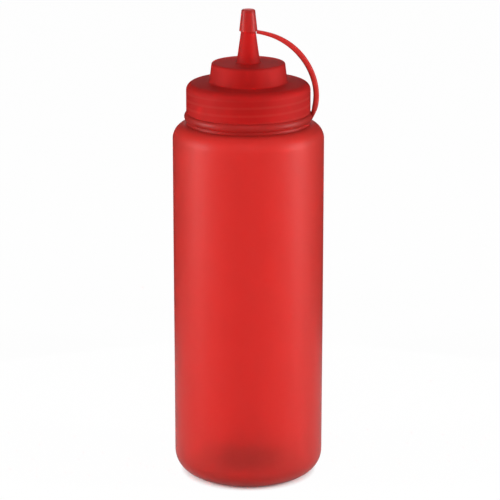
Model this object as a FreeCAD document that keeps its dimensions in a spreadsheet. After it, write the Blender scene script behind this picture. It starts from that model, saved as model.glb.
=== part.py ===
"""Squeeze bottle for sauces, with a screw cap and a tethered tip cap.

Three moulded pieces of soft polyethylene:
  bottle  blow-moulded body with a pushed-up base and a wide threaded neck
  cap     screw cap with a raised drum and a conical nozzle
  tether  ring round the neck, arched strap and tip cap, moulded in one

Millimetres.  The origin is on the bottle's axis, in the plane it stands on, and +Z is up.
The strap arches over the +X side.
"""
import FreeCAD, Part
import math
import os
import re
import Sketcher
from FreeCAD import Vector

DIMENSIONS = {
    # bottle
    "body_radius": 41.5,
    "wall_height": 191.3,            # top of the straight side wall
    "base_corner": 12.0,
    "bottle_wall": 1.1,
    "base_wall": 1.6,
    "stand_band": 3.5,               # width of the flat ring that it stands on
    "push_up": 5.5,                  # height of the dome in the base
    "gate_radius": 3.0,              # flat spot in the middle of the dome
    "shoulder_corner": 8.6,
    "neck_radius": 30.6,
    "neck_height": 20.7,
    "neck_fillet": 1.0,
    "lip_round": 0.5,
    # screw thread
    "thread_pitch": 4.25,
    "thread_turns": 1.75,
    "thread_depth": 1.0,
    "thread_foot": 2.0,              # axial width of a ridge at the wall
    "thread_crest": 1.0,
    "thread_root": 0.4,              # how far a ridge reaches into the wall that carries it
    "thread_drop": 11.2,             # from the lip down to where the neck's thread starts
    # screw cap
    "cap_wall": 1.5,
    "thread_room": 1.76,             # between the neck and the inside of the cap
    "cap_corner": 4.2,
    "lip_clearance": 0.1,
    "foot_clearance": 0.3,
    "foot_chamfer": 0.3,
    "plate_rise": 0.6,
    "drum_radius": 21.25,
    "drum_height": 10.5,
    "drum_taper": 1.3,
    "drum_corner": 1.1,
    "drum_fillet": 0.8,
    "nozzle_radius": 6.42,
    "nozzle_tip_radius": 2.6,
    "nozzle_height": 26.7,
    "nozzle_wall": 1.2,
    "nozzle_fillet": 0.8,
    # tether
    "ring_clearance": 0.4,
    "ring_seat": 0.3,
    "ring_height": 5.7,
    "bead_proud": 1.14,
    "bead_half": 2.2,
    "tip_overlap": 9.5,              # length of nozzle inside the tip cap
    "tip_clearance": 0.06,
    "tip_wall": 0.95,
    "crown_wall": 1.01,
    "crown_gap": 0.4,
    "crown_thickness": 1.8,
    "crown_round": 0.9,
    "strap_sink": 0.45,              # how far the strap's end reaches into the tip cap's wall
    "strap_drop": 0.5,               # its centre line below the tip cap's foot
    "strap_tip_thickness": 1.9,
    "strap_tip_width": 3.2,
    "strap_thickness": 3.1,
    "strap_width": 4.4,
    "strap_full_at": 0.55,           # share of the length by which it is at full thickness
    "strap_flare": 5.0,              # extra width where it joins the ring
    "strap_flare_from": 0.85,        # share of the length where the flare starts
    "strap_root_thickness": 1.55,    # at its buried end
    "strap_root_from": 0.9,          # share of the length where it thins towards that
    "strap_root_out": 0.14,          # its centre line outside the ring's wall
    "strap_lead": 8.8,
    "strap_lead_drop": 1.7,
    "strap_crown": 25.1,
    "strap_crown_drop": 3.8,
    "strap_swell": 9.7,
    "strap_swell_rise": 18.3,
}

STRAP_SECTIONS = 14                  # spans between the sections that the strap is lofted through
OVAL_CORNER = 0.7                    # the strap's corner radius over half its thickness

# Heights and radii that more than one piece uses, as expressions on the sheet.
SHOULDER_TOP = "(wall_height + shoulder_corner)"
LIP = f"({SHOULDER_TOP} + neck_height)"
CAP_INNER = "(neck_radius + thread_room)"
CAP_OUTER = f"({CAP_INNER} + cap_wall)"
RING_FOOT = f"({SHOULDER_TOP} + ring_seat)"
RING_TOP = f"({RING_FOOT} + ring_height)"
CAP_FOOT = f"({RING_TOP} + foot_clearance)"
PLATE_UNDER = f"({LIP} + lip_clearance)"
PLATE_TOP = f"({PLATE_UNDER} + cap_wall)"
DRUM_FOOT = f"({PLATE_TOP} + plate_rise)"
DRUM_TOP = f"({DRUM_FOOT} + drum_height)"
NOZZLE_TIP = f"({DRUM_TOP} + nozzle_height)"
NOZZLE_SLOPE = "((nozzle_radius - nozzle_tip_radius) / nozzle_height)"
TIP_FOOT = f"({NOZZLE_TIP} - tip_overlap)"
TIP_BORE = f"(nozzle_tip_radius + {NOZZLE_SLOPE} * tip_overlap + tip_clearance)"

doc = FreeCAD.newDocument("squeeze_bottle")
sheet = doc.addObject("Spreadsheet::Sheet", "dims")
for row, (alias, size) in enumerate(DIMENSIONS.items(), start=1):
    sheet.set(f"A{row}", alias)
    sheet.set(f"B{row}", str(size))
    sheet.setAlias(f"B{row}", alias)
doc.recompute()


def value(expression):
    """The number an expression on the sheet's names comes to."""
    return float(sheet.evalExpression(expression))


def bind(thing, target, expression):
    """Ties a property or constraint to the sheet through an expression on its names."""
    names = "|".join(DIMENSIONS)
    thing.setExpression(target, re.sub(rf"\b({names})\b", r"dims.\1", expression))


def origin_plane(body, role):
    """One of the body's own origin planes."""
    return next(plane for plane in body.Origin.OriginFeatures if plane.Role == role)


def new_body(name):
    body = doc.addObject("PartDesign::Body", name)
    body.Label = name
    return body


def add_edge(sketch, start, end, radius):
    """Adds a line, or an arc whose centre lies left (radius > 0) or right of its travel.

    Returns the edge's index and which of its vertices are its start and end.
    """
    if not radius:
        return sketch.addGeometry(Part.LineSegment(start, end)), 1, 2
    chord = end - start
    left = Vector(-chord.y, chord.x, 0).normalize()
    rise = math.sqrt(max(radius ** 2 - (chord.Length / 2) ** 2, 0))
    centre = (start + end) / 2 + left * math.copysign(rise, radius)
    first, last = (start, end) if radius > 0 else (end, start)
    begin = math.atan2(first.y - centre.y, first.x - centre.x)
    finish = math.atan2(last.y - centre.y, last.x - centre.x)
    circle = Part.Circle(centre, Vector(0, 0, 1), abs(radius))
    index = sketch.addGeometry(Part.ArcOfCircle(circle, begin, finish))
    return (index, 1, 2) if radius > 0 else (index, 2, 1)


def half_section(body, name, outline):
    """Draws a closed outline in the body's XZ plane, each corner tied to the sheet.

    outline is a list of corners (x, z) or (x, z, radius): expressions on the sheet, where a
    radius makes the edge that leaves the corner an arc, minus sign for a clockwise one.
    """
    sketch = body.newObject("Sketcher::SketchObject", name)
    sketch.AttachmentSupport = (origin_plane(body, "XZ_Plane"), [""])
    sketch.MapMode = "FlatFace"
    corners = [Vector(value(corner[0]), value(corner[1]), 0) for corner in outline]
    edges = []
    for number, corner in enumerate(outline):
        radius = value(corner[2]) if len(corner) > 2 else 0
        following = corners[(number + 1) % len(corners)]
        edges.append(add_edge(sketch, corners[number], following, radius))
    for number, corner in enumerate(outline):
        index, start, _ = edges[number]
        before, _, end = edges[number - 1]
        sketch.addConstraint(Sketcher.Constraint("Coincident", before, end, index, start))
        for kind, axis, expression in (("DistanceX", -2, corner[0]), ("DistanceY", -1, corner[1])):
            if expression == "0":
                sketch.addConstraint(Sketcher.Constraint("PointOnObject", index, start, axis))
                continue
            rule = Sketcher.Constraint(kind, -1, 1, index, start, value(expression))
            bind(sketch, f"Constraints[{sketch.addConstraint(rule)}]", expression)
        if len(corner) > 2:
            rule = Sketcher.Constraint("Radius", index, abs(value(corner[2])))
            bind(sketch, f"Constraints[{sketch.addConstraint(rule)}]", corner[2].lstrip("-"))
    return sketch


def revolve(body, sketch, name):
    """Turns a half section once round the Z axis."""
    turn = body.newObject("PartDesign::Revolution", name)
    turn.Profile = sketch
    turn.ReferenceAxis = (sketch, ["V_Axis"])
    turn.Angle = 360
    sketch.Visibility = False
    return turn


def thread(body, name, wall_radius, inward, start):
    """Winds a ridge of trapezoid section up the wall from the height start."""
    side = "-" if inward else "+"
    back = "+" if inward else "-"
    buried = f"({wall_radius} {back} thread_root)"
    crest = f"({wall_radius} {side} thread_depth)"
    section = half_section(body, name + "_section", [
        (buried, f"{start} - thread_foot / 2"),
        (buried, f"{start} + thread_foot / 2"),
        (crest, f"{start} + thread_crest / 2"),
        (crest, f"{start} - thread_crest / 2"),
    ])
    helix = body.newObject("PartDesign::AdditiveHelix", name)
    helix.Profile = section
    helix.ReferenceAxis = (section, ["V_Axis"])
    helix.Mode = "pitch-turns-angle"
    bind(helix, "Pitch", "thread_pitch")
    bind(helix, "Turns", "thread_turns")
    section.Visibility = False


def make_bottle():
    """Thin-walled body of one turned section, and the thread on its neck."""
    body = new_body("bottle")
    stand = "(body_radius - base_corner)"
    dome_foot = f"({stand} - stand_band)"
    dome = f"((({dome_foot} - gate_radius) ^ 2 + push_up ^ 2) / (2 * push_up))"
    dome_run = f"sqrt(({dome} + base_wall) ^ 2 - ({dome} - push_up + base_wall) ^ 2)"
    fillet_foot = "(neck_radius + neck_fillet)"
    section = half_section(body, "bottle_section", [
        ("0", "push_up"),
        ("gate_radius", "push_up", f"-{dome}"),
        (dome_foot, "0"),
        (stand, "0", "base_corner"),
        ("body_radius", "base_corner"),
        ("body_radius", "wall_height", "shoulder_corner"),
        ("body_radius - shoulder_corner", SHOULDER_TOP),
        (fillet_foot, SHOULDER_TOP, "-neck_fillet"),
        ("neck_radius", f"{SHOULDER_TOP} + neck_fillet"),
        ("neck_radius", f"{LIP} - lip_round", "lip_round"),
        ("neck_radius - lip_round", LIP),
        ("neck_radius - bottle_wall", LIP),
        ("neck_radius - bottle_wall", f"{SHOULDER_TOP} + neck_fillet", "neck_fillet + bottle_wall"),
        (fillet_foot, f"{SHOULDER_TOP} - bottle_wall"),
        ("body_radius - shoulder_corner", f"{SHOULDER_TOP} - bottle_wall",
         "-(shoulder_corner - bottle_wall)"),
        ("body_radius - bottle_wall", "wall_height"),
        ("body_radius - bottle_wall", "base_wall + base_corner - bottle_wall",
         "-(base_corner - bottle_wall)"),
        (stand, "base_wall"),
        (f"gate_radius + {dome_run}", "base_wall", f"{dome} + base_wall"),
        ("gate_radius", "push_up + base_wall"),
        ("0", "push_up + base_wall"),
    ])
    revolve(body, section, "bottle_turn")
    thread(body, "neck_thread", "neck_radius", False, f"({LIP} - thread_drop)")
    return body


def make_cap():
    """Skirt, plate, drum and nozzle of one turned section, and the thread in the skirt."""
    body = new_body("cap")
    corner_in = "(cap_corner - cap_wall)"
    plate_edge = f"({CAP_OUTER} - cap_corner)"
    drum_top_radius = "(drum_radius - drum_taper)"
    nozzle_bore = "(nozzle_radius - nozzle_wall)"
    drum_bore = "(drum_radius - cap_wall)"
    section = half_section(body, "cap_section", [
        (CAP_INNER, CAP_FOOT),
        (f"{CAP_OUTER} - foot_chamfer", CAP_FOOT),
        (CAP_OUTER, f"{CAP_FOOT} + foot_chamfer"),
        (CAP_OUTER, f"{PLATE_TOP} - cap_corner", "cap_corner"),
        (plate_edge, PLATE_TOP),
        ("drum_radius + drum_fillet", DRUM_FOOT, "-drum_fillet"),
        ("drum_radius", f"{DRUM_FOOT} + drum_fillet"),
        (drum_top_radius, f"{DRUM_TOP} - drum_corner", "drum_corner"),
        (f"{drum_top_radius} - drum_corner", DRUM_TOP),
        ("nozzle_radius + nozzle_fillet", DRUM_TOP, "-nozzle_fillet"),
        (f"nozzle_radius - {NOZZLE_SLOPE} * nozzle_fillet", f"{DRUM_TOP} + nozzle_fillet"),
        ("nozzle_tip_radius", NOZZLE_TIP),
        ("nozzle_tip_radius - nozzle_wall", NOZZLE_TIP),
        (nozzle_bore, f"{DRUM_TOP} - cap_wall"),
        (f"{drum_top_radius} - cap_wall", f"{DRUM_TOP} - cap_wall"),
        (drum_bore, f"{DRUM_FOOT} - cap_wall"),
        (plate_edge, PLATE_UNDER, f"-{corner_in}"),
        (CAP_INNER, f"{PLATE_UNDER} - {corner_in}"),
    ])
    revolve(body, section, "cap_turn")
    thread(body, "cap_thread", CAP_INNER, True, f"({LIP} - thread_drop + thread_pitch / 2)")
    return body


def make_ring():
    """Collar that turns freely round the neck under the cap, with a rounded bead."""
    body = new_body("tether_ring")
    bore = "(neck_radius + ring_clearance)"
    bead_foot = f"({RING_TOP} - 2 * bead_half)"
    bead = "((bead_half ^ 2 + bead_proud ^ 2) / (2 * bead_proud))"
    section = half_section(body, "ring_section", [
        (bore, f"{RING_FOOT} + neck_fillet"),
        (f"{bore} + neck_fillet", RING_FOOT),
        (CAP_OUTER, RING_FOOT),
        (CAP_OUTER, bead_foot, bead),
        (CAP_OUTER, RING_TOP),
        (bore, RING_TOP),
    ])
    revolve(body, section, "ring_turn")
    return body


def make_tip_cap():
    """Closed thimble over the end of the nozzle, tapered like it."""
    body = new_body("tether_tip_cap")
    crown_radius = "(nozzle_tip_radius + tip_clearance + crown_wall)"
    crown_under = f"({NOZZLE_TIP} + crown_gap)"
    crown_top = f"({crown_under} + crown_thickness)"
    section = half_section(body, "tip_cap_section", [
        (TIP_BORE, TIP_FOOT),
        (f"{TIP_BORE} + tip_wall", TIP_FOOT),
        (crown_radius, f"{crown_top} - crown_round", "crown_round"),
        (f"{crown_radius} - crown_round", crown_top),
        ("0", crown_top),
        ("0", crown_under),
        ("nozzle_tip_radius + tip_clearance", crown_under),
        ("nozzle_tip_radius + tip_clearance", NOZZLE_TIP),
    ])
    revolve(body, section, "tip_cap_turn")
    return body


def rise(share, start, end):
    """0 before start, 1 after end, and a soft step between."""
    step = min(max((share - start) / (end - start), 0), 1)
    return step * step * (3 - 2 * step)


def oval(place, along, half_thickness, half_width):
    """Rounded-rectangle wire across the strap: half_thickness in its plane, half_width in Y."""
    across = Vector(-along.z, 0, along.x)
    corner = OVAL_CORNER * half_thickness
    points = []
    for x_side, y_side in ((1, 1), (-1, 1), (-1, -1), (1, -1)):
        middle = place + across * x_side * (half_thickness - corner)
        middle += Vector(0, y_side * (half_width - corner), 0)
        start = 0 if x_side * y_side > 0 else 90
        for step in (0, 45, 90):
            turn = math.radians(abs(start - step))
            reach = across * x_side * math.cos(turn) + Vector(0, y_side * math.sin(turn), 0)
            points.append(middle + reach * corner)
    edges = []
    for number in range(4):
        a, b, c = points[3 * number:3 * number + 3]
        edges.append(Part.Arc(a, b, c).toShape())
        edges.append(Part.LineSegment(c, points[(3 * number + 3) % 12]).toShape())
    return Part.Wire(edges)


def make_strap():
    """Arched strap from the tip cap's foot to the ring, along one smooth curve.

    The curve is a Bezier of five poles.  Its ends are in the tip cap's wall and in the ring,
    and the poles between hang on those ends.  It is slimmest at the tip cap and flares out
    sideways where it joins the ring.
    """
    tip = Vector(value(f"{TIP_BORE} + tip_wall - strap_sink"), 0, value(f"{TIP_FOOT} - strap_drop"))
    root = Vector(value(f"{CAP_OUTER} + strap_root_out"), 0,
                  value(f"{RING_TOP} - bead_half - bead_proud"))
    curve = Part.BezierCurve()
    curve.setPoles([
        tip,
        tip + Vector(value("strap_lead"), 0, -value("strap_lead_drop")),
        tip + Vector(value("strap_crown"), 0, -value("strap_crown_drop")),
        root + Vector(value("strap_swell"), 0, value("strap_swell_rise")),
        root,
    ])
    sections = []
    for number in range(STRAP_SECTIONS + 1):
        share = number / STRAP_SECTIONS
        thickness = value("strap_tip_thickness")
        thickness += (value("strap_thickness") - thickness) * rise(share, 0, value("strap_full_at"))
        thinned = rise(share, value("strap_root_from"), 1)
        thickness += (value("strap_root_thickness") - thickness) * thinned
        width = value("strap_tip_width") + (value("strap_width") - value("strap_tip_width")) * share
        width += value("strap_flare") * rise(share, value("strap_flare_from"), 1)
        along = curve.tangent(share)[0]
        sections.append(oval(curve.value(share), along, thickness / 2, width / 2))
    strap = doc.addObject("Part::Feature", "tether_strap")
    strap.Shape = Part.makeLoft(sections, True, False)
    return strap


def make_tether():
    """Ring, strap and tip cap as the one moulding that they are."""
    tether = doc.addObject("Part::MultiFuse", "tether")
    tether.Shapes = [make_ring(), make_strap(), make_tip_cap()]
    tether.Label = "tether"
    return tether


def check(parts):
    """Stops if any feature failed or any piece is not one valid solid."""
    failed = [item.Name for item in doc.Objects if {"Invalid", "Error"} & set(item.State)]
    if failed:
        raise RuntimeError(f"features that failed: {failed}")
    for part in parts:
        if part.Shape.isNull() or not part.Shape.isValid() or len(part.Shape.Solids) != 1:
            raise RuntimeError(f"{part.Label} is not one valid solid")


pieces = [make_bottle(), make_cap(), make_tether()]
doc.recompute()
check(pieces)
os.makedirs("parts", exist_ok=True)
for piece in pieces:
    piece.Shape.exportStep(f"parts/{piece.Label}.step")
    print(piece.Label, round(piece.Shape.Volume), "mm3", piece.Shape.BoundBox)
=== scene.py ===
"""Looks of a soft squeeze bottle for sauces: blow-moulded body, screw cap with its nozzle,
and a tether with the tip cap.  Metres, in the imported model's frame, +Z up."""
import math

import bmesh
import bpy
import numpy as np
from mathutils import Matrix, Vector


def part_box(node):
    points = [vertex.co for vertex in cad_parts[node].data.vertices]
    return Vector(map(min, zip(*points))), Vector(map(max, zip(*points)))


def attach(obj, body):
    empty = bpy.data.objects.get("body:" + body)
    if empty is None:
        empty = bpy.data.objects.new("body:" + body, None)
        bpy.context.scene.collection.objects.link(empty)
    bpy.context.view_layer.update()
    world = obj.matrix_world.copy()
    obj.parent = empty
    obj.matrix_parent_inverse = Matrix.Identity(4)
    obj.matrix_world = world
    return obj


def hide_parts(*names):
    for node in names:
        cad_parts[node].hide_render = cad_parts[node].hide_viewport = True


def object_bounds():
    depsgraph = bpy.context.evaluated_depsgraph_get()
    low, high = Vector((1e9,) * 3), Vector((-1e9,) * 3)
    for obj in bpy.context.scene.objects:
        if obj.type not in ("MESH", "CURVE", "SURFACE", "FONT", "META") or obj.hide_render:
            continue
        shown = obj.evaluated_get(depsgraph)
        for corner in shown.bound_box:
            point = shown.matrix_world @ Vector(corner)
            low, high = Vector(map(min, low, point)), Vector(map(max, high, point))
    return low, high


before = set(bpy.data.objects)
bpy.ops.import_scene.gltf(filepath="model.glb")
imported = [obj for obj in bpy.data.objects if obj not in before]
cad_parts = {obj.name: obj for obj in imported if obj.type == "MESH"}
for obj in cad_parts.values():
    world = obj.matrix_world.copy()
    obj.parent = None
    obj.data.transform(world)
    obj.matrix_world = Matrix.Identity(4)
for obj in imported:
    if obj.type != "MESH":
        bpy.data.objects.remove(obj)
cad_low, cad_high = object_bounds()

# --- Bottle ---------------------------------------------------------------------------------
# One blow-moulded piece of low-density polyethylene, dyed red and frosted by the mould: a thin
# shell with a domed base, a rounded shoulder and a threaded neck.  It stands on the flat ring
# round the dome, and the two halves of the mould leave a fine seam up each side.
_, bottle_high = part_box("bottle")
body_radius = 0.0415
wall = 0.0011
lip = bottle_high.z
lip_round = 0.0005
neck_radius = 0.0306
neck_fillet = 0.001
shoulder_top = lip - 0.0207
shoulder_corner = 0.0086
base_corner = 0.012
floor_wall = 0.0016
dome_foot = 0.026
dome_height = 0.0055
gate_radius = 0.003
thread_start = lip - 0.0112
thread_pitch = 0.00425
thread_turns = 1.75
thread_depth = 0.001
thread_foot = 0.002
thread_crest = 0.001
thread_run_out = math.radians(15)
seam_height = 0.00005
seam_half_width = 0.0004
weld_height = 4 * seam_height
drawn_in = 0.00013
wave_depth = 0.00002
# Reach of the painted shade on the dome: full within the first radius, gone beyond the second.
dome_shade_within = 0.012
dome_shade_out_to = 0.024
flat_step = 0.002
wall_step = 0.003
inner_step = 0.004
thread_step = 0.00025
arc_step = math.radians(5)
crease = math.radians(40)


def rise(share, start, stop):
    """0 before start, 1 after stop, and a soft cubic step between."""
    step = np.clip((share - start) / (stop - start), 0, 1)
    return step * step * (3 - 2 * step)


def rounded(corners, loop=False):
    """Outline through corners (radius, height, rounding, step).  Each corner becomes an arc of
    its rounding that touches both edges there, at rounding / tan(half the angle) from it, and
    the straight edge after it is cut into pieces no longer than its step."""
    corners = np.array(corners, float)
    place = corners[:, :2]
    back, ahead = np.roll(place, 1, 0) - place, np.roll(place, -1, 0) - place
    back /= np.linalg.norm(back, axis=1, keepdims=True)
    ahead /= np.linalg.norm(ahead, axis=1, keepdims=True)
    half = np.arccos(np.clip((back * ahead).sum(1), -1, 1)) / 2
    cut = (corners[:, 2] / np.tan(half))[:, None]
    enter, leave = place + back * cut, place + ahead * cut
    points = []
    for number, (_, _, rounding, step) in enumerate(corners):
        if rounding:
            inward = back[number] + ahead[number]
            reach = rounding / (np.linalg.norm(inward) * math.sin(half[number]))
            centre = place[number] + inward * reach
            first = math.atan2(*(enter[number] - centre)[::-1])
            last = math.atan2(*(leave[number] - centre)[::-1])
            sweep = (last - first + math.pi) % (2 * math.pi) - math.pi
            pieces = max(3, math.ceil(abs(sweep) / arc_step))
            angle = first + sweep * np.arange(pieces) / pieces
            points.append(centre + rounding * np.column_stack((np.cos(angle), np.sin(angle))))
        following = (number + 1) % len(corners)
        if following == 0 and not loop:
            points.append(place[number:number + 1])
            break
        run = enter[following] - leave[number]
        pieces = max(1, math.ceil(np.linalg.norm(run) / step))
        points.append(leave[number] + run * (np.arange(pieces) / pieces)[:, None])
    return np.vstack(points)


def dome(foot, levels, flat, count=16):
    """Corners of a shallow dome, from the edge of its flat spot at the upper of two levels out
    to its foot at the lower: a circle that is level at the flat spot, of radius
    (width squared + height squared) / (2 height)."""
    width, height = foot - flat, levels[1] - levels[0]
    bend = (width ** 2 + height ** 2) / (2 * height)
    away = width * np.arange(1, count + 1) / count
    level = levels[1] - bend + np.sqrt(bend ** 2 - away ** 2)
    return [(flat + out, up, 0, flat_step) for out, up in zip(away, level)]


def helix_ridge(angle, height, start):
    """How far a screw thread's ridge stands out at each angle and height: the distance along
    the axis to the nearest turn of the helix, cut off as a trapezoid, with both ends run out."""
    stand = np.zeros_like(height)
    sweep = 2 * math.pi * thread_turns
    for turn in range(math.ceil(thread_turns)):
        wound = angle + 2 * math.pi * turn
        away = np.abs(height - start - thread_pitch * wound / (2 * math.pi))
        ridge = np.clip((thread_foot / 2 - away) / ((thread_foot - thread_crest) / 2), 0, 1)
        run_out = np.clip(np.minimum(wound, sweep - wound) / thread_run_out, 0, 1)
        stand = np.maximum(stand, ridge * run_out)
    return thread_depth * stand


def grid_piece(name, points, around, along, poles=(False, False)):
    """Object with a mesh of a grid of points, rows by columns.  around closes the columns into
    rings, along closes the last row onto the first, and a pole shrinks an end row to a point."""
    rows, columns = points.shape[:2]
    index = np.arange(rows * columns).reshape(rows, columns)
    for end, pole in zip((0, -1), poles):
        if pole:
            index[end] = index[end, 0]
    row, column = np.meshgrid(np.arange(rows if along else rows - 1),
                              np.arange(columns if around else columns - 1), indexing="ij")
    up, right = (row + 1) % rows, (column + 1) % columns
    quads = np.stack((index[row, column], index[row, right],
                      index[up, right], index[up, column]), -1)
    used, quads = np.unique(quads.reshape(-1, 4), return_inverse=True)
    faces = [tuple(dict.fromkeys(quad)) for quad in quads.reshape(-1, 4).tolist()]
    mesh = bpy.data.meshes.new(name)
    mesh.from_pydata(points.reshape(-1, 3)[used].tolist(), [], faces)
    mesh.polygons.foreach_set("use_smooth", np.ones(len(mesh.polygons), bool))
    mesh.set_sharp_from_angle(angle=crease)
    piece = bpy.data.objects.new(name, mesh)
    bpy.context.collection.objects.link(piece)
    return piece


def turned(name, outline, angle, shape=None, loop=False):
    """Surface of revolution: each (radius, height) of the outline goes once round the axis.
    shape(radius, height, angle) may shift the radius and height.  An outline that isn't a loop
    starts and ends on the axis."""
    radius = np.repeat(outline[:, :1], len(angle), axis=1)
    height = np.repeat(outline[:, 1:], len(angle), axis=1)
    angle = np.repeat(angle[None], len(outline), axis=0)
    if shape:
        radius, height = shape(radius, height, angle)
    points = np.stack((radius * np.cos(angle), radius * np.sin(angle), height), -1)
    return grid_piece(name, points, True, loop, (not loop, not loop))


def even_angles(columns):
    """Angles at equal steps once round."""
    return np.linspace(0, 2 * math.pi, columns, endpoint=False)


def blown(radius, height, angle):
    """The neck's thread; a side wall drawn in by 0.08 to 0.18 mm in slow waves; the mould's
    seam as a low ridge up each side; and the pinched weld that it leaves under the dome, a
    ridge along the seam's plane."""
    threaded = (radius > neck_radius - wall / 2) & (height > shoulder_top + neck_fillet)
    waves = np.sin(2 * angle + 40 * height) + np.sin(3 * angle - 25 * height + 1.3)
    waves += np.sin(5 * angle + 60 * height + 0.6) / 2
    below_shoulder = 1 - rise(height, shoulder_top - shoulder_corner, shoulder_top)
    side = rise(height, 0, base_corner) * below_shoulder
    from_seam = np.abs(radius * np.sin(angle))
    ridge = np.clip(1 - (from_seam / seam_half_width) ** 2, 0, 1)
    outside = radius > body_radius - wall / 2
    beneath = (height < dome_height + floor_wall / 4) & (radius < dome_foot)
    weld = ridge * beneath * rise(radius, dome_foot * 0.9, dome_foot * 0.8)
    shift = np.where(threaded, helix_ridge(angle, height, thread_start), 0)
    shift += side * (seam_height * ridge * outside - drawn_in - wave_depth * waves)
    return radius + shift, height - weld_height * weld


bottle_outline = rounded(
    [(0, dome_height, 0, flat_step), (gate_radius, dome_height, 0, flat_step)]
    + dome(dome_foot, (0, dome_height), gate_radius)
    + [(body_radius, 0, base_corner, wall_step),
       (body_radius, shoulder_top, shoulder_corner, flat_step),
       (neck_radius, shoulder_top, neck_fillet, thread_step),
       (neck_radius, lip, lip_round, flat_step),
       (neck_radius - wall, lip, 0, flat_step),
       (neck_radius - wall, shoulder_top - wall, neck_fillet + wall, flat_step),
       (body_radius - wall, shoulder_top - wall, shoulder_corner - wall, inner_step),
       (body_radius - wall, floor_wall, base_corner - wall, flat_step)]
    + dome(dome_foot, (floor_wall, dome_height + floor_wall), gate_radius)[::-1]
    + [(gate_radius, dome_height + floor_wall, 0, flat_step),
       (0, dome_height + floor_wall, 0, flat_step)])
# Extra columns at these millimetres from each seam, for its ridge to stand on.
beside_seam = np.array((-0.8, -0.4, -0.25, -0.12, 0.12, 0.25, 0.4, 0.8)) * 0.001 / body_radius
bottle_angles = np.sort(np.concatenate((even_angles(208), beside_seam[4:], beside_seam + math.pi,
                                        beside_seam[:4] + 2 * math.pi)))
bottle = turned("bottle_skin", bottle_outline, bottle_angles, blown)


class Value:
    """One output of a material's node.  Sums, differences and products of it add Math nodes,
    and other nodes come from make."""

    def __init__(self, tree, output):
        self.tree, self.output = tree, output

    @staticmethod
    def make(tree, kind, settings=None, output=0, **feeds):
        """Adds a node: its type, its settings, and the values or links of its sockets by name
        (underscores for spaces) or, as i0, i1 and so on, by place."""
        node = tree.nodes.new("ShaderNode" + kind)
        for key, setting in (settings or {}).items():
            setattr(node, key, setting)
        for key, feed in feeds.items():
            by_place = key[1:].isdigit()
            socket = node.inputs[int(key[1:]) if by_place else key.replace("_", " ")]
            if isinstance(feed, Value):
                tree.links.new(feed.output, socket)
            else:
                socket.default_value = feed
        return Value(tree, node.outputs[output])

    def other(self, name):
        """Another output of the same node."""
        return Value(self.tree, self.output.node.outputs[name])

    def calc(self, operation, first, second):
        """A Math node on two values or numbers."""
        return Value.make(self.tree, "Math", {"operation": operation}, i0=first, i1=second)

    def __add__(self, other):
        return self.calc("ADD", self, other)

    __radd__ = __add__

    def __sub__(self, other):
        return self.calc("SUBTRACT", self, other)

    def __rsub__(self, other):
        return self.calc("SUBTRACT", other, self)

    def __mul__(self, other):
        return self.calc("MULTIPLY", self, other)

    __rmul__ = __mul__


def polyethylene(name, deep, pale, roughness, clearness, bend, soak, streaks, grain, patch=None):
    """Frosted polyethylene dyed right through: a colour clouded from deep to pale, with streaks
    as the share of it that lies in upright streaks from the drawn tube; a finely pebbled skin,
    with its roughness and grain as how strong the pebbles are; clearness as the share of light
    that passes the skin; bend as its refractive index; and soak as how fast red fades on the
    way through the wall, per metre (green and blue fade twice as fast).  patch, where given,
    takes a place to a share and a colour of its own."""
    material = bpy.data.materials.new(name)
    material.use_nodes = True
    tree = material.node_tree
    shader = tree.nodes["Principled BSDF"]
    place = Value.make(tree, "TexCoord", output="Object")
    upright = Value.make(tree, "Mapping", Vector=place, Scale=(110.0, 110.0, 6.0))
    cloud = Value.make(tree, "TexNoise", Vector=place, Scale=28.0, Detail=3.0, Roughness=0.55)
    streak = Value.make(tree, "TexNoise", Vector=upright, Scale=1.0, Detail=2.0, Roughness=0.5)
    pebble = Value.make(tree, "TexNoise", Vector=place, Scale=1900.0, Detail=2.0, Roughness=0.6)
    mottle = cloud * (1 - streaks) + streak * streaks
    colour = Value.make(tree, "Mix", {"data_type": "RGBA"}, output=2, i0=mottle, i6=deep, i7=pale)
    # A patch paints light or shade over the mottled colour: painted shade on the body's dome,
    # painted highlights along the cap's thread.
    if patch:
        share, patch_colour = patch(tree, place)
        colour = Value.make(tree, "Mix", {"data_type": "RGBA"}, output=2,
                            i0=share, i6=colour, i7=patch_colour)
    rough_spread = 0.12
    rough = rough_spread * mottle + (roughness - rough_spread / 2)
    skin = Value.make(tree, "Bump", Strength=grain, Distance=0.00006, Height=pebble)
    tree.links.new(colour.output, shader.inputs["Base Color"])
    tree.links.new(rough.output, shader.inputs["Roughness"])
    tree.links.new(skin.output, shader.inputs["Normal"])
    shader.distribution = "GGX"
    shader.inputs["IOR"].default_value = bend
    shader.inputs["Transmission Weight"].default_value = clearness
    dye = Value.make(tree, "VolumeAbsorption", Color=(0.5, 0.0, 0.0, 1.0), Density=2 * soak)
    tree.links.new(dye.output, tree.nodes["Material Output"].inputs["Volume"])
    return material


def painted_dome_shade(tree, place):
    """Painted shade on the dome: its middle, round the pinched gate, is coloured a dark red that
    fades outwards, for the shade inside the dome where the bottle stands on the floor: a smooth
    step of the squared distance to the axis."""
    across = Value.make(tree, "SeparateXYZ", Vector=place)
    ahead = across.other("Y")
    share = Value.make(tree, "MapRange", {"interpolation_type": "SMOOTHSTEP"},
                       Value=across * across + ahead * ahead,
                       From_Min=dome_shade_out_to ** 2, From_Max=dome_shade_within ** 2)
    return share, (0.16, 0.002, 0.002, 1)


# The body's colour gets a patch of painted shade on the middle of its dome.
bottle.data.materials.append(polyethylene(
    "frosted_red_body", deep=(0.93, 0.074, 0.060, 1), pale=(0.99, 0.090, 0.074, 1),
    roughness=0.47, clearness=0.82, bend=1.22, soak=150, streaks=0.6, grain=0.25,
    patch=painted_dome_shade))
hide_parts("bottle")
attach(bottle, "root")

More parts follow.
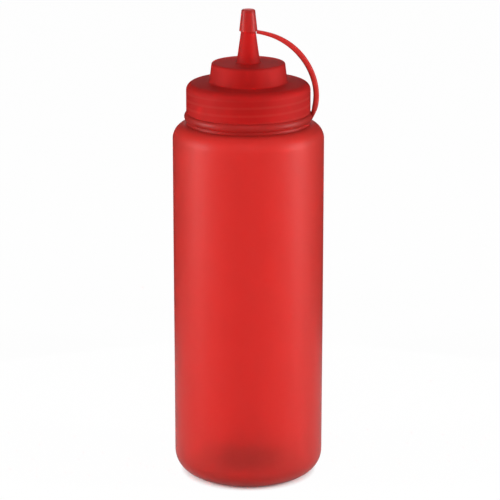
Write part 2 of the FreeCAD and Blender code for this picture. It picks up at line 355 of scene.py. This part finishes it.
# --- Screw cap ------------------------------------------------------------------------------
# One injection-moulded piece of the same polyethylene: a plain skirt with a thread inside, a
# gently rising plate, a raised drum and a slim conical nozzle with its bore.  It is screwed
# down on the neck.
cap_low, cap_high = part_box("cap")
cap_wall = 0.0015
cap_radius = 0.03386
cap_bore = cap_radius - cap_wall
cap_corner = 0.0042
screwed_down = 0.0002
cap_foot = cap_low.z - screwed_down
lip_clearance = 0.0001
plate_under = lip + lip_clearance
plate_top = plate_under + cap_wall
plate_rise = 0.0006
drum_foot = plate_top + plate_rise
drum_radius = 0.02125
drum_top_radius = 0.01995
drum_height = 0.0105
drum_top = drum_foot + drum_height
drum_corner = 0.0011
drum_fillet = 0.0008
nozzle_radius = 0.00642
nozzle_tip_radius = 0.0026
nozzle_tip = cap_high.z
nozzle_wall = 0.0012
nozzle_fillet = 0.0008
nozzle_slope = (nozzle_radius - nozzle_tip_radius) / (nozzle_tip - drum_top)
edge_round = 0.0003
cap_thread_start = thread_start + thread_pitch / 2
# Width and fade of the painted highlights along the cap's thread.
line_reach = 0.26
line_core = 0.04
lines_end = lip - 0.0011
lines_full = lip - 0.0031
cap_outline = rounded([
    (cap_radius, cap_foot, edge_round / 2, flat_step),
    (cap_radius, plate_top, cap_corner, flat_step),
    (drum_radius, drum_foot, drum_fillet, flat_step),
    (drum_top_radius, drum_top, drum_corner, flat_step),
    (nozzle_radius, drum_top, nozzle_fillet, flat_step),
    (nozzle_tip_radius, nozzle_tip, edge_round, flat_step),
    (nozzle_tip_radius - nozzle_wall, nozzle_tip, 0, flat_step),
    (nozzle_radius - nozzle_wall, drum_top - cap_wall, edge_round, flat_step),
    (drum_top_radius - cap_wall, drum_top - cap_wall, edge_round, flat_step),
    (drum_radius - cap_wall, drum_foot - cap_wall, edge_round, flat_step),
    (cap_bore, plate_under, cap_corner - cap_wall, thread_step),
    (cap_bore, cap_foot, 0, flat_step),
], loop=True)


def cap_thread(radius, height, angle):
    """The thread inside the skirt, half a pitch above the neck's."""
    inside = (np.abs(radius - cap_bore) < cap_wall / 4) & (height < plate_under - cap_corner / 2)
    ridge = helix_ridge(angle, height, cap_thread_start)
    return radius - np.where(inside, ridge, 0), height


cap = turned("cap_skin", cap_outline, even_angles(192), cap_thread, loop=True)


def painted_thread_highlights(tree, place):
    """Painted highlights: faint paler lines on the skirt along the thread inside it, where the
    height over the thread's start, less a pitch for each turn of angle, is near a whole number of
    pitches.  They fade out under the plate."""
    x = Value.make(tree, "SeparateXYZ", Vector=place)
    y, z = x.other("Y"), x.other("Z")
    soft = {"interpolation_type": "SMOOTHSTEP"}
    wound = (z - cap_thread_start) * (1 / thread_pitch) - y.calc("ARCTAN2", y, x) * (0.5 / math.pi)
    off_line = wound.calc("PINGPONG", wound, 0.5)
    line = Value.make(tree, "MapRange", soft, Value=off_line,
                      From_Min=line_reach, From_Max=line_core)
    below_top = Value.make(tree, "MapRange", soft, Value=z,
                           From_Min=lines_end, From_Max=lines_full)
    return line * below_top, (0.91, 0.036, 0.030, 1)


# The cap's colour gets painted highlights along its thread.
cap.data.materials.append(polyethylene(
    "satin_red_cap", deep=(0.82, 0.016, 0.013, 1), pale=(0.88, 0.022, 0.018, 1),
    roughness=0.7, clearness=0.80, bend=1.2, soak=85, streaks=0.0, grain=0.15,
    patch=painted_thread_highlights))
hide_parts("cap")
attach(cap, "root")

# --- Tether ---------------------------------------------------------------------------------
# One injection-moulded piece: a ring with a rounded bead, loose round the neck under the cap,
# a strap that arches up from it, and the tip cap that the strap ends in, pushed on the nozzle.
tether_low, tether_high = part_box("tether")
ring_foot = tether_low.z - screwed_down
ring_seat = 0.0003
ring_top = cap_low.z - ring_seat
ring_clearance = 0.0004
ring_bore = neck_radius + ring_clearance
bead_half = 0.0022
bead_proud = 0.00114
bead_radius = (bead_half ** 2 + bead_proud ** 2) / (2 * bead_proud)
bead_up = np.linspace(-bead_half, bead_half, 15)
bead_out = cap_radius + bead_proud - bead_radius + np.sqrt(bead_radius ** 2 - bead_up ** 2)
ring_outline = rounded(
    [(ring_bore + neck_fillet, ring_foot, 0, flat_step),
     (cap_radius, ring_foot, edge_round / 2, flat_step)]
    + [(out, ring_top - bead_half + up, 0, flat_step) for out, up in zip(bead_out, bead_up)]
    + [(ring_bore, ring_top, 0, flat_step), (ring_bore, ring_foot + neck_fillet, 0, flat_step)],
    loop=True)
tip_overlap = 0.0095
tip_foot = nozzle_tip - tip_overlap
tip_gap = 0.00006
tip_wall = 0.00095
tip_round = 0.0002
tip_bore = nozzle_tip_radius + nozzle_slope * (nozzle_tip - tip_foot) + tip_gap
tip_radius = tip_bore + tip_wall
crown_wall = 0.00101
crown_gap = 0.0004
crown_round = 0.0009
crown_bore = nozzle_tip_radius + tip_gap
crown_radius = crown_bore + crown_wall
crown_under = nozzle_tip + crown_gap
crown_top = tether_high.z
tip_outline = rounded([
    (0, crown_under, 0, flat_step),
    (crown_bore, crown_under, 0, flat_step),
    (crown_bore, nozzle_tip, 0, flat_step),
    (tip_bore, tip_foot, 0, flat_step),
    (tip_radius, tip_foot, tip_round, flat_step),
    (crown_radius, crown_top, crown_round, flat_step),
    (0, crown_top, 0, flat_step),
])
strap_sink = 0.00045
strap_drop = 0.0005
strap_root_out = 0.00014
strap_tip_thickness = 0.0019
strap_thickness = 0.0031
strap_root_thickness = 0.00155
strap_tip_width = 0.0032
strap_width = 0.0044
strap_flare = 0.005
strap_full_at = 0.55
strap_flare_from = 0.85
strap_thin_from = 0.9
strap_squareness = 3.2


def strap_mesh(name, stations=90, corners=28):
    """The strap: a rounded oblong carried along a Bezier curve of five poles, (radius, height)
    in the plane through the nozzle, thin at the tip cap, full from half way down, and flared
    where it meets the ring.  The oblong is |x| to a power + |y| to that power = 1, and the
    curve's points and slopes are sums of its poles, and of the steps between them, weighted by
    Bernstein's polynomials."""
    tip = np.array((tip_radius - strap_sink, tip_foot - strap_drop))
    root = np.array((cap_radius + strap_root_out, ring_top - bead_half - bead_proud))
    poles = np.array((tip, tip + (0.0088, -0.0017), tip + (0.0251, -0.0038),
                      root + (0.0097, 0.0183), root))
    share = np.linspace(0, 1, stations)
    place, along = np.zeros((stations, 2)), np.zeros((stations, 2))
    for whole, feeds in ((place, poles), (along, np.diff(poles, axis=0))):
        degree = len(feeds) - 1
        for number, feed in enumerate(feeds):
            weight = math.comb(degree, number) * (1 - share) ** (degree - number) * share ** number
            whole += weight[:, None] * feed
    along /= np.linalg.norm(along, axis=1, keepdims=True)
    across = np.column_stack((-along[:, 1], along[:, 0]))
    filled = rise(share, 0, strap_full_at)
    thick = strap_tip_thickness + (strap_thickness - strap_tip_thickness) * filled
    thick += (strap_root_thickness - thick) * rise(share, strap_thin_from, 1)
    wide = strap_tip_width + (strap_width - strap_tip_width) * share
    wide += strap_flare * rise(share, strap_flare_from, 1)
    turn = even_angles(corners)
    lobe = np.abs(np.cos(turn)) ** strap_squareness + np.abs(np.sin(turn)) ** strap_squareness
    lobe = lobe ** (-1 / strap_squareness)
    in_plane = thick[:, None] / 2 * (lobe * np.cos(turn))[None]
    sideways = wide[:, None] / 2 * (lobe * np.sin(turn))[None]
    points = np.stack((place[:, :1] + across[:, :1] * in_plane, sideways,
                       place[:, 1:] + across[:, 1:] * in_plane), -1)
    ends = [np.repeat(points[end].mean(0)[None, None], corners, axis=1) for end in (0, -1)]
    return grid_piece(name, np.concatenate((ends[0], points, ends[1])), True, False, (True, True))


def joined(name, first, others):
    """One closed skin of several overlapping ones: their union, worked out by Boolean
    modifiers, with points closer than five microns made one, slivers under two microns and
    points that only two edges meet in taken out."""
    close, sliver = 0.000005, 0.000002
    for other in others:
        union = first.modifiers.new(other.name, "BOOLEAN")
        union.operation = "UNION"
        union.solver = "EXACT"
        union.object = other
    united = first.evaluated_get(bpy.context.evaluated_depsgraph_get())
    whole = bpy.data.meshes.new_from_object(united)
    for piece in (first, *others):
        bpy.data.objects.remove(piece)
    cleaned = bmesh.new()
    cleaned.from_mesh(whole)
    bmesh.ops.remove_doubles(cleaned, verts=cleaned.verts, dist=close)
    bmesh.ops.dissolve_degenerate(cleaned, edges=cleaned.edges, dist=sliver)
    spare = [point for point in cleaned.verts if len(point.link_edges) == 2]
    bmesh.ops.dissolve_verts(cleaned, verts=spare)
    cleaned.to_mesh(whole)
    cleaned.free()
    whole.polygons.foreach_set("use_smooth", np.ones(len(whole.polygons), bool))
    whole.set_sharp_from_angle(angle=crease)
    piece = bpy.data.objects.new(name, whole)
    bpy.context.collection.objects.link(piece)
    return piece


tether = joined("tether_skin", turned("ring_part", ring_outline, even_angles(192), loop=True),
                (strap_mesh("strap_part"), turned("tip_part", tip_outline, even_angles(72))))
tether.data.materials.append(polyethylene(
    "satin_red_tether", deep=(0.90, 0.050, 0.042, 1), pale=(0.95, 0.062, 0.052, 1),
    roughness=0.42, clearness=0.82, bend=1.2, soak=150, streaks=0.0, grain=0.12))
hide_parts("tether")
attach(tether, "root")

# --- Studio ---------------------------------------------------------------------------------
# A white floor that runs out to a white surround, slim upright soft boxes left and right, a
# wide one above the camera, and behind the bottle two black flags that only the light sees:
# they keep the surround out of its grazing reflections, so its edges draw darker.
floor_reach = 3.0
floor_level = -0.0001
floor_glow = 0.98
contact_reach = 0.003
corners = np.array(((-1, -1, 0), (1, -1, 0), (-1, 1, 0), (1, 1, 0)), float).reshape(2, 2, 3)
floor = grid_piece("studio_floor", corners * floor_reach + (0, 0, floor_level), False, False)


def white_to_eye(tree, share):
    """A share for rays from the camera, from a gloss or through a clear wall, and 0 for the
    rest."""
    rays = Value.make(tree, "LightPath")
    seen = rays.calc("MAXIMUM", rays, rays.other("Is Glossy Ray"))
    return seen.calc("MAXIMUM", seen, rays.other("Is Transmission Ray")) * share


floor_paint = bpy.data.materials.new("studio_white")
floor_paint.use_nodes = True
tree = floor_paint.node_tree
paint = tree.nodes["Principled BSDF"]
paint.inputs["Base Color"].default_value = (0.85, 0.85, 0.85, 1)
paint.inputs["Roughness"].default_value = 0.9
paint.inputs["Specular IOR Level"].default_value = 0.0
glow = Value.make(tree, "Emission", Color=(1, 1, 1, 1), Strength=1.0)
# Ambient occlusion dims the glow within contact_reach of the bottle: a painted contact shadow
# under and round its foot.
open_floor = Value.make(tree, "AmbientOcclusion", {"samples": 8}, output="AO",
                        Distance=contact_reach)
both = Value.make(tree, "MixShader", i0=white_to_eye(tree, floor_glow * open_floor),
                  i1=Value(tree, paint.outputs[0]), i2=glow)
tree.links.new(both.output, tree.nodes["Material Output"].inputs["Surface"])
floor.data.materials.append(floor_paint)

flag_black = bpy.data.materials.new("flag_black")
flag_black.use_nodes = True
velvet = flag_black.node_tree.nodes["Principled BSDF"]
velvet.inputs["Base Color"].default_value = (0.01, 0.01, 0.01, 1)
velvet.inputs["Roughness"].default_value = 1.0
velvet.inputs["Specular IOR Level"].default_value = 0.0
flag_height = 0.6
flag_foot = 0.004
flag_far, flag_near = (0.50, 0.06), (0.07, 0.22)
for name, side in (("flag_left", -1), ("flag_right", 1)):
    foot = np.array([(side * out, behind, flag_foot) for out, behind in (flag_far, flag_near)])
    flag = grid_piece(name, np.stack((foot, foot + (0, 0, flag_height))), False, False)
    flag.data.materials.append(flag_black)
    flag.visible_camera = False

world = bpy.data.worlds.new("studio")
bpy.context.scene.world = world
world.use_nodes = True
tree = world.node_tree
room_light = 0.42
strength = white_to_eye(tree, 1 - room_light) + room_light
tree.links.new(strength.output, tree.nodes["Background"].inputs["Strength"])
tree.nodes["Background"].inputs["Color"].default_value = (1, 1, 1, 1)


def soft_box(name, place, width, height, power):
    """Rectangular soft box at place, facing the middle of the bottle."""
    light = bpy.data.lights.new(name, "AREA")
    light.shape = "RECTANGLE"
    light.size, light.size_y, light.energy = width, height, power
    lamp = bpy.data.objects.new(name, light)
    bpy.context.collection.objects.link(lamp)
    lamp.location = place
    aim = Vector((0, 0, cad_high.z / 2)) - lamp.location
    lamp.rotation_euler = aim.to_track_quat("-Z", "Y").to_euler()


soft_box("soft_box_left", place=(-0.88, -0.17, 0.25), width=0.16, height=0.7, power=11.8)
soft_box("soft_box_right", place=(0.88, -0.17, 0.25), width=0.16, height=0.7, power=13)
soft_box("soft_box_front", place=(0, -1.6, 1.3), width=1.0, height=0.8, power=11)

# --- Camera ---------------------------------------------------------------------------------
# A long lens in front of the bottle and well above its cap, tilted down so that the bottle
# fills the frame's height.
lens = bpy.data.cameras.new("camera")
lens.sensor_width = 36
lens.lens = 166.34
camera = bpy.data.objects.new("camera", lens)
bpy.context.collection.objects.link(camera)
camera.location = (0.0009, -1.2322, 0.4722)
camera.rotation_euler = (math.radians(74.38), 0, 0)
bpy.context.scene.camera = camera
bpy.context.scene.view_settings.view_transform = "Standard"
